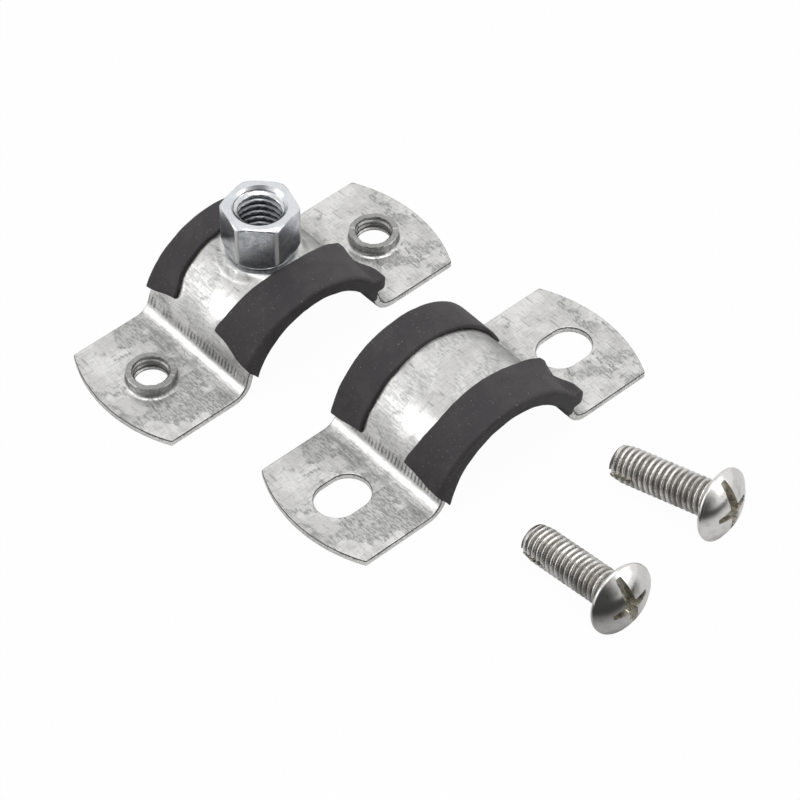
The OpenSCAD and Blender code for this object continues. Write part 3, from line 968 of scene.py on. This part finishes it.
class Shading:
    """A node tree whose nodes are written as expressions."""

    def __init__(self, owner):
        owner.use_nodes = True
        self.tree = owner.node_tree
        self.tree.nodes.clear()

    def feed(self, socket, value):
        """Links a value to a socket, or sets a plain number or colour on it."""
        if isinstance(value, Value):
            self.tree.links.new(value.socket, socket)
        elif hasattr(value, "__len__") and len(value) == 3 and len(socket.default_value) == 4:
            socket.default_value = (*value, 1.0)
        else:
            socket.default_value = value

    def node(self, kind, settings=None, inputs=None, output=0):
        """Makes a node, sets it up, feeds it, and gives one of its outputs."""
        made = self.tree.nodes.new(kind)
        for setting, value in (settings or {}).items():
            setattr(made, setting, value)
        for socket, value in (inputs or {}).items():
            self.feed(made.inputs[socket], value)
        return Value(self, made.outputs[output]) if output is not None else None

    def math(self, operation, a, b=0.0):
        """Maths on one or two values."""
        return self.node("ShaderNodeMath", {"operation": operation}, {0: a, 1: b})

    def step(self, value, low, high):
        """0 below low and 1 above high, with a smooth change between."""
        return self.node("ShaderNodeMapRange", {"interpolation_type": "SMOOTHSTEP"},
                         {"Value": value, "From Min": low, "From Max": high})

    def band(self, value, rise, fall):
        """0, then 1 from the rise on, then 0 again after the fall."""
        return self.step(value, *rise) * (1 - self.step(value, *fall))

    def mix(self, share, a, b):
        """Colour a where share is 0 and colour b where it is 1."""
        return self.node("ShaderNodeMix", {"data_type": "RGBA"}, {"Factor": share, 6: a, 7: b}, 2)

    def coats(self, colour_below, *layers):
        """A colour with others laid over it, each by its share."""
        tone = colour_below
        for share, colour_above in layers:
            tone = self.mix(share, tone, colour_above)
        return tone

    def dot(self, a, b):
        """Dot product of two vectors."""
        return self.node("ShaderNodeVectorMath", {"operation": "DOT_PRODUCT"}, {0: a, 1: b}, "Value")

    def ray(self, kind):
        """1 for rays of a kind, 0 for others."""
        return self.node("ShaderNodeLightPath", output=f"Is {kind} Ray")


class Finish(Shading):
    """A material of a surface of the clamp."""

    def __init__(self, name, metallic=0.0):
        self.material = bpy.data.materials.new(name)
        super().__init__(self.material)
        self.shader = self.tree.nodes.new("ShaderNodeBsdfPrincipled")
        self.node("ShaderNodeOutputMaterial", None, {"Surface": Value(self, self.shader.outputs[0])}, None)
        self.set("Metallic", metallic)

    def set(self, socket, value):
        """Feeds a socket of the shader."""
        self.feed(self.shader.inputs[socket], value)

    def surface(self, tone, roughness, height, rise):
        """Sets colour and roughness, and a bump that rises by a length in metres where height is 1."""
        self.set("Base Color", tone)
        self.set("Roughness", roughness)
        self.set("Normal", self.node("ShaderNodeBump", None,
                                     {"Height": height, "Distance": rise, "Strength": 1.0}))
        return self.material

    def attribute(self, name, output="Fac"):
        """A piece's attribute."""
        return self.node("ShaderNodeAttribute", {"attribute_name": name}, None, output)

    def millimetres(self, name=None):
        """Place on the blank, or on the object, in millimetres."""
        place = self.attribute(name, "Vector") if name else self.node("ShaderNodeTexCoord", output="Object")
        return self.node("ShaderNodeVectorMath", {"operation": "SCALE"}, {0: place, "Scale": 1 / MM})

    def axis(self, place, letter):
        """One of a vector's coordinates."""
        return self.node("ShaderNodeSeparateXYZ", None, {0: place}, letter)

    def noise(self, place, scale, detail=3.0, rough=0.5, warp=0.0):
        """Noise between 0 and 1, with one scale or with one for each axis."""
        if isinstance(scale, tuple):
            place = self.node("ShaderNodeVectorMath", {"operation": "MULTIPLY"}, {0: place, 1: scale})
            scale = 1.0
        return self.node("ShaderNodeTexNoise", None,
                         {"Vector": place, "Scale": scale, "Detail": detail, "Roughness": rough,
                          "Distortion": warp})


def zinc_sheet(colours, form):
    """Zinc-coated sheet: clouded and grained, and scuffed in patches.

    A painted highlight runs along each fold as a bright band, with tool marks above it
    and a dull line of painted shade below it. Painted shade dulls the arch's right flank,
    and the collars are dull.
    """
    finish = Finish("zinc_sheet", metallic=1.0)
    finish.set("Specular Tint", colours.edge_tint)
    place = finish.millimetres("blank")
    right, across, height = (finish.axis(place, letter) for letter in "XYZ")
    along = finish.math("ABSOLUTE", right)
    bend_start, bend_end = form.arch_run / MM, form.curved_run / MM

    wave = finish.noise(place, 0.26, 2.0, 0.5)
    cloud = finish.noise(place, 0.22, 3.0, 0.55, 0.3)
    struck = finish.noise(place, 0.35, 2.0, 0.5)
    mottle = finish.noise(place, 1.5, 5.0, 0.7, 0.6)
    patch = finish.noise(place, (0.16, 0.2, 0.2), 2.2, 0.5, 0.5)
    lines = finish.noise(place, (3.4, 0.4, 2.0), 3.0, 0.6)
    ticks = finish.noise(place, (4.2, 1.2, 2.0), 3.0, 0.6)
    drawn = finish.noise(place, (0.4, 3.2, 2.0), 3.0, 0.6)
    scratch = finish.noise(place, (2.1, 0.26, 2.0), 1.0, 0.4)
    hatch = finish.math("SINE", 8.4 * across + 5.0 * mottle)

    flange = finish.step(along, bend_end - 2.5, bend_end + 1.0)
    # Painted highlight: a bright band along the middle of each bend, kept clear of wear.
    fold_highlight = finish.band(along + swing(ticks, 1.6), (bend_start + 0.4, bend_start + 1.1),
                       (bend_end - 2.1, bend_end - 1.2))
    worn = finish.step(patch + swing(mottle, 0.16), 0.5, 0.54) * (1 - 0.8 * fold_highlight) * (0.5 + 0.5 * flange)
    fleck = finish.step(0.55 * ticks + 0.2 * mottle + 0.25 * lines, 0.45, 0.55)
    faint = finish.step(patch + swing(drawn, 0.3), 0.4, 0.5) * (1 - worn)
    speck = finish.step(ticks + swing(mottle, 0.35), 0.60, 0.68)
    score = finish.step(scratch + swing(mottle, 0.25), 0.67, 0.73)
    streak = finish.step(drawn + swing(mottle, 0.2), 0.57, 0.64) * (1 - fold_highlight)
    press = finish.band(along + swing(mottle, 1.4), (bend_start - 1.3, bend_start - 0.7),
                        (bend_start + 0.3, bend_start + 0.9)) * finish.step(struck, 0.36, 0.5)
    # Painted shade: a dull band on the arch's right flank, just above the bend.
    rubbed = finish.band(right + swing(ticks, 1.2), (bend_start - 7.0, bend_start - 4.5),
                         (bend_start, bend_start + 0.8))
    # Painted shade: a dull line where each bend meets its flange.
    line = (finish.step(along + swing(ticks, 1.0), bend_end - 1.5, bend_end - 1.1)
            * (1 - finish.step(along + swing(mottle, 1.6), bend_end - 0.6, bend_end + 1.2)))
    collar = finish.step(height + swing(mottle, 0.3), 1.2, 1.5)

    bright, dull, dark = colours.zinc_bright, colours.zinc_dull, colours.zinc_dark
    tone = finish.coats(colours.zinc,
                        (finish.step(cloud, 0.38, 0.62), bright),
                        (0.2 * finish.step(lines, 0.5, 0.62), dull),
                        (speck * (0.2 + 0.14 * flange), dull),
                        (0.3 * streak, dull),
                        # painted highlight along the folds
                        (fold_highlight * (0.75 - 0.35 * fleck), bright),
                        (faint * 0.22 * fleck, dull),
                        (worn * (0.32 + 0.6 * fleck), dull),
                        (worn * speck * 0.55, dark),
                        (0.4 * score, dark),
                        # painted shade on the arch's right flank
                        (rubbed * (0.62 + 0.35 * fleck), dull),
                        # painted shade line at the foot of each bend
                        (line * (0.3 + 0.5 * fleck), dull),
                        (0.8 * press * finish.step(hatch, -0.1, 0.5), dark),
                        (collar * (0.45 + 0.35 * fleck), dull))
    roughness = 0.27 + 0.08 * cloud + 0.16 * worn + swing(lines, 0.2) + swing(mottle, 0.2)
    return finish.surface(tone, roughness, 0.6 * wave + 0.14 * lines + 0.16 * mottle + 0.1 * ticks, 0.11 * MM)


def sheared_edge(colours):
    """Cut edge of the sheet: pale and torn, with a dark line where the shear went in, dull on a collar."""
    finish = Finish("sheared_edge", metallic=1.0)
    place = finish.millimetres("blank")
    height = finish.axis(place, "Z")
    tear = finish.noise(place, (2.5, 2.5, 1.0), 4.0, 0.65)
    patch = finish.noise(place, (0.35, 0.35, 1.5), 3.0, 0.6)
    collar = finish.step(height, 1.3, 1.6)
    line = finish.step(height + swing(tear, 0.5) + swing(patch, 0.3), 0.84, 0.96) * (1 - 0.55 * collar)
    tone = finish.coats(colours.zinc_bright,
                        (0.6 * finish.step(0.6 * tear + 0.4 * patch, 0.46, 0.62), colours.zinc_dull),
                        (0.5 * collar, colours.zinc_dull),
                        (line, colours.sheared))
    return finish.surface(tone, 0.36 + swing(tear, 0.2), tear, 0.05 * MM)


def bright_zinc(colours):
    """Bright plating of the boss: mottled, with painted shade on its sides; crests and corners worn pale,
    also painted as highlight lines; painted shade deep inside.
    """
    finish = Finish("bright_zinc", metallic=1.0)
    place = finish.millimetres()
    worn = finish.attribute("crest")
    depth = finish.attribute("depth")
    cloud = finish.noise(place, 0.45, 4.0, 0.6, 0.5)
    mottle = finish.noise(place, 2.2, 4.0, 0.65)
    speck = finish.noise(place, 9.0, 2.0, 0.5)
    # Painted shade: the dull mottling is stronger on the sides than on the top.
    upward = finish.axis(finish.node("ShaderNodeNewGeometry", output="Normal"), "Z")
    sides = 1 - finish.step(upward, 0.3, 0.8)
    dull = finish.step(cloud + swing(mottle, 0.35), 0.32, 0.68) * (0.2 + 0.65 * sides)
    # Crests and corners: worn pale and also painted as highlight lines, and less metallic.
    corner = worn * (1 - finish.step(depth, 0.0, 0.1))
    tone = finish.coats(colours.boss,
                        (dull, colours.boss_dull),
                        # worn pale, and painted highlight lines on the corners
                        (0.45 * worn + 0.5 * corner, colours.zinc_bright),
                        # painted shade deep in the bore
                        (0.86 * depth, colours.bore))
    finish.set("Metallic", 1 - 0.65 * corner)
    roughness = 0.15 + 0.14 * cloud + swing(mottle, 0.1)
    return finish.surface(tone, roughness, 0.6 * mottle + 0.2 * speck, 0.02 * MM)


def rubber(colours):
    """Matt charcoal rubber with a pale bloom and fine specks of dust."""
    finish = Finish("rubber")
    finish.set("Specular IOR Level", 0.4)
    place = finish.millimetres("blank")
    bloom = finish.noise(place, 0.22, 5.0, 0.6, 0.3)
    fine = finish.noise(place, 7.0, 4.0, 0.6)
    speck = finish.noise(place, 2.6, 1.0, 0.5)
    dust = finish.noise(place, (3.2, 1.6, 3.0), 3.0, 0.7)
    tone = finish.coats(colours.rubber,
                        (0.55 * finish.step(bloom, 0.4, 0.66), colours.rubber_bloom),
                        (0.35 * finish.step(dust, 0.62, 0.72), colours.rubber_dust),
                        (0.9 * finish.step(speck, 0.735, 0.76), colours.rubber_dust))
    return finish.surface(tone, 0.5 + 0.16 * fine + 0.08 * bloom, 0.7 * fine + 0.3 * bloom, 0.05 * MM)


def screw_plating(colours):
    """Polished plating of a screw's head, with faint smudges."""
    finish = Finish("screw_plating", metallic=1.0)
    place = finish.millimetres("blank")
    smudge = finish.noise(place, 0.8, 5.0, 0.6)
    fine = finish.noise(place, 8.0, 2.0, 0.5)
    tone = finish.coats(colours.screw, (0.3 * finish.step(smudge, 0.45, 0.7), colours.screw_root))
    return finish.surface(tone, 0.12 + 0.1 * smudge + 0.04 * fine, fine, 0.004 * MM)


def screw_thread(colours):
    """Rolled thread: bright crests over painted shade in the warmer roots, smudged here and there."""
    finish = Finish("screw_thread", metallic=1.0)
    crest = finish.attribute("crest")
    place = finish.millimetres("blank")
    fine = finish.noise(place, 3.0, 4.0, 0.7)
    smudge = finish.noise(place, (0.16, 0.16, 0.4), 2.0, 0.5)
    dirt = finish.step(smudge + swing(fine, 0.3), 0.5, 0.64)
    # painted shade in the roots between the crests
    tone = finish.coats(colours.screw_root,
                        (finish.step(crest + swing(fine, 0.5), 0.1, 0.8), colours.screw),
                        (0.6 * dirt, colours.screw_root))
    return finish.surface(tone, 0.26 - 0.08 * crest + 0.25 * (fine - 0.4) + 0.12 * dirt, fine, 0.05 * MM)


def recess_plating(colours):
    """Dull plating in a drive recess and a cutting flute, with dark burrs."""
    finish = Finish("recess_plating", metallic=1.0)
    place = finish.millimetres()
    fine = finish.noise(place, 3.0, 4.0, 0.6)
    burr = finish.noise(place, 1.1, 3.0, 0.6, 0.6)
    tone = finish.coats(colours.recess,
                        (0.6 * finish.step(fine, 0.4, 0.7), colours.screw),
                        (0.75 * finish.step(burr, 0.5, 0.6), colours.screw_root))
    return finish.surface(tone, 0.2 + 0.2 * fine, fine, 0.02 * MM)


class CLAMP_OT_straps(bpy.types.Operator):
    """Makes both steel straps"""

    bl_idname = "clamp.straps"
    bl_label = "Steel straps"

    def execute(self, context):
        scene = context.scene
        form = BentSheet(scene.clamp_strap, scene.clamp_lining)
        finishes = [zinc_sheet(scene.clamp_finish, form), sheared_edge(scene.clamp_finish)]
        make_slotted_strap(form, scene.clamp_strap, finishes)
        make_boss_strap(form, scene.clamp_strap, scene.clamp_boss, finishes)
        return {"FINISHED"}


class CLAMP_OT_linings(bpy.types.Operator):
    """Makes both rubber linings"""

    bl_idname = "clamp.linings"
    bl_label = "Rubber linings"

    def execute(self, context):
        scene = context.scene
        form = BentSheet(scene.clamp_strap, scene.clamp_lining)
        finish = rubber(scene.clamp_finish)
        for seed, half in enumerate(("slotted", "boss"), 1):
            make_lining(half, form, scene.clamp_lining, finish, seed)
        return {"FINISHED"}


class CLAMP_OT_boss(bpy.types.Operator):
    """Makes the threaded boss"""

    bl_idname = "clamp.boss"
    bl_label = "Threaded boss"

    def execute(self, context):
        scene = context.scene
        sheet = BentSheet(scene.clamp_strap, scene.clamp_lining)
        make_boss(sheet, scene.clamp_boss, bright_zinc(scene.clamp_finish))
        return {"FINISHED"}


class CLAMP_OT_screws(bpy.types.Operator):
    """Makes the two clamping screws"""

    bl_idname = "clamp.screws"
    bl_label = "Clamping screws"

    def execute(self, context):
        screw, colours = context.scene.clamp_screw, context.scene.clamp_finish
        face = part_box("lining_slotted_half")[0].y
        finishes = [screw_plating(colours), screw_thread(colours), recess_plating(colours)]
        places = ((screw.point_1, screw.heading_1, screw.roll_1),
                  (screw.point_2, screw.heading_2, screw.roll_2))
        for number, (point, heading, roll) in enumerate(places, 1):
            make_screw(number, screw, Vector((point[0], face - point[1])), heading, roll, finishes)
        return {"FINISHED"}


def aim_at(thing, aim, toward, distance):
    """Puts a camera or a lamp at a distance from a point, facing it."""
    thing.location = aim + toward * distance
    thing.rotation_euler = (-toward).to_track_quat("-Z", "Y").to_euler()


def make_lamp(name, direction, aim, distance, size, watts):
    """A square soft lamp in a direction from a point."""
    data = bpy.data.lights.new(name, "AREA")
    data.size = size
    data.energy = watts
    aim_at(add_object(name, data), aim, Vector(direction).normalized(), distance)


def make_camera(stage, aim):
    """The camera, in the direction from which the clamp was photographed."""
    data = bpy.data.cameras.new("camera")
    data.lens = stage.lens
    data.sensor_width = 36
    data.clip_start = 10 * MM
    level = math.cos(stage.elevation)
    toward = Vector((math.sin(stage.azimuth) * level, -math.cos(stage.azimuth) * level,
                     math.sin(stage.elevation)))
    camera = add_object("camera", data)
    aim_at(camera, aim, toward, stage.distance)
    return camera


def make_world(stage):
    """A white studio: white where it shows, plain light on what isn't shiny, dim behind the camera."""
    world = bpy.data.worlds.new("studio")
    shading = Shading(world)
    direction = shading.node("ShaderNodeTexCoord", output="Generated")
    facing = shading.dot(direction, Vector(stage.dim_side).normalized())
    dim = shading.step(facing, stage.dim_from, stage.dim_to) * (1 - shading.ray("Camera"))
    shown = shading.math("MAXIMUM", shading.ray("Camera"), shading.ray("Glossy"))
    shown = shading.math("MAXIMUM", shown, shading.ray("Transmission"))
    strength = (stage.sky + (1 - stage.sky) * shown) * (1 - (1 - stage.dim) * dim)
    studio = shading.node("ShaderNodeBackground", None, {"Color": (1, 1, 1), "Strength": strength})
    shading.node("ShaderNodeOutputWorld", None, {"Surface": studio}, None)
    return world


def make_floor(stage):
    """A pale floor that the camera sees as white, with the object's shadow on it."""
    bm = bmesh.new()
    bmesh.ops.create_grid(bm, x_segments=1, y_segments=1, size=stage.floor_size / 2)
    material = bpy.data.materials.new("pale_floor")
    floor = add_object("floor", mesh_from("floor", bm, [material]))
    shading = Shading(material)
    seen = shading.ray("Camera")
    place = shading.node("ShaderNodeTexCoord", output="Object")
    away = shading.dot(place, Vector(stage.dim_side).xy.normalized().to_3d())
    grey = shading.mix(shading.step(away, stage.dim_near, stage.dim_far), stage.floor_shine, (stage.dim,) * 3)
    grey = shading.mix(shading.ray("Glossy"), stage.floor, grey)
    grey = shading.mix(seen, grey, stage.floor_seen)
    diffuse = shading.node("ShaderNodeBsdfDiffuse", None, {"Color": grey})
    glow = shading.node("ShaderNodeEmission", None, {"Color": (1, 1, 1)})
    both = shading.node("ShaderNodeMixShader", None, {0: stage.floor_glow * seen, 1: diffuse, 2: glow})
    shading.node("ShaderNodeOutputMaterial", None, {"Surface": both}, None)


class CLAMP_OT_stage(bpy.types.Operator):
    """Makes the camera, the pale floor, the world and the lamps"""

    bl_idname = "clamp.stage"
    bl_label = "Stage"

    def execute(self, context):
        scene = context.scene
        stage = scene.clamp_stage
        scene.view_settings.view_transform = "Standard"
        aim = Vector(stage.aim)
        scene.camera = make_camera(stage, aim)
        scene.world = make_world(stage)
        make_floor(stage)
        make_lamp("overhead_lamp", (0.0, -0.1, 1.0), aim, 1.0, 0.6, stage.overhead_power)
        make_lamp("side_lamp", (-0.72, 0.5, 0.42), aim, 0.9, 0.42, stage.side_power)
        make_lamp("front_lamp", (0.5, -0.7, 0.46), aim, 0.9, 0.42, stage.front_power)
        return {"FINISHED"}


class CLAMP_PT_panel(bpy.types.Panel):
    """Lists the clamp's pieces and the sizes that they are made from"""

    bl_idname = "CLAMP_PT_panel"
    bl_label = "Pipe strap clamp"
    bl_space_type = "VIEW_3D"
    bl_region_type = "UI"
    bl_category = "Clamp"

    def draw(self, context):
        layout = self.layout
        for operator in OPERATORS:
            layout.operator(operator.bl_idname)
        for group in SETTINGS:
            box = layout.box()
            settings = getattr(context.scene, group)
            for name in settings.bl_rna.properties.keys():
                if name not in {"rna_type", "name"}:
                    box.prop(settings, name)


OPERATORS = (CLAMP_OT_stage, CLAMP_OT_straps, CLAMP_OT_linings, CLAMP_OT_boss, CLAMP_OT_screws)
SETTINGS = {"clamp_strap": StrapSizes, "clamp_lining": LiningSizes, "clamp_boss": BossSizes,
            "clamp_screw": ScrewSizes, "clamp_finish": Finishes, "clamp_stage": StageSettings}


def register():
    for group in SETTINGS.values():
        bpy.utils.register_class(group)
    for operator in OPERATORS:
        bpy.utils.register_class(operator)
    bpy.utils.register_class(CLAMP_PT_panel)
    for name, group in SETTINGS.items():
        setattr(bpy.types.Scene, name, PointerProperty(type=group))


def unregister():
    for name in SETTINGS:
        delattr(bpy.types.Scene, name)
    bpy.utils.unregister_class(CLAMP_PT_panel)
    for operator in reversed(OPERATORS):
        bpy.utils.unregister_class(operator)
    for group in reversed(SETTINGS.values()):
        bpy.utils.unregister_class(group)


def main():
    """Registers the classes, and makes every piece."""
    register()
    bpy.ops.clamp.stage()
    bpy.ops.clamp.straps()
    bpy.ops.clamp.linings()
    bpy.ops.clamp.boss()
    bpy.ops.clamp.screws()


if __name__ == "__main__":
    main()
